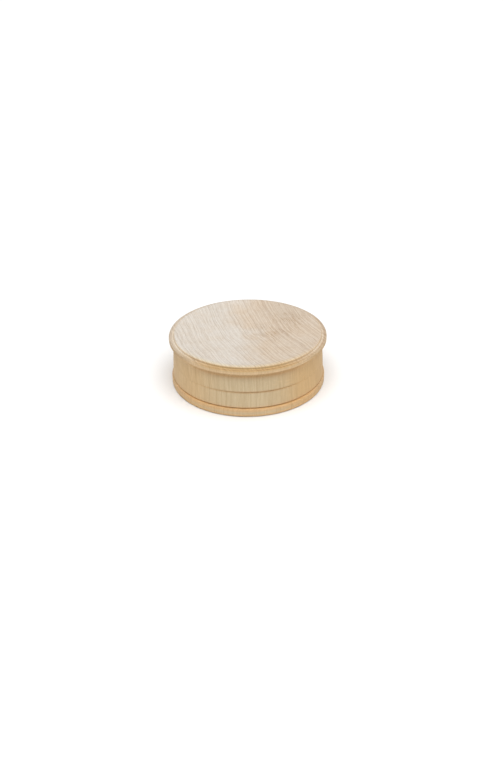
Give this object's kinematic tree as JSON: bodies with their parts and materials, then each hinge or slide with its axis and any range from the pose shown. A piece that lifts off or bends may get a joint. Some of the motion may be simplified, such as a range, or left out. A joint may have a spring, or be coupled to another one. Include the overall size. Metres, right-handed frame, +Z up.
{
  "type": "go stone bowl",
  "caption": "Shallow round turned wooden bowl with a lift-off lid for go stones: dished top, overhanging lip, waisted side and beaded foot.",
  "frame": {"origin": "centre of the circle that the bowl stands on", "axes": "+Z up, along the turning axis and the way the lid lifts; X and Y lie in the surface it stands on, and the object is the same all round"},
  "size_m": [0.1, 0.1, 0.0334],
  "materials": {
    "base_wood": "unfinished pale maple or beech, turned and sanded smooth, matte",
    "lid_wood": "unfinished pale maple or beech, turned and sanded smooth, matte, with end grain on its top"
  },
  "bodies": {
    "bowl": {"base": "base_wood"},
    "cover": {"lid": "lid_wood"}
  },
  "joints": [
    {"name": "lid_lift", "type": "slide", "parent": "bowl", "child": "cover", "axis": [0, 0, 1], "range_m": [0, 0.06]}
  ]
}
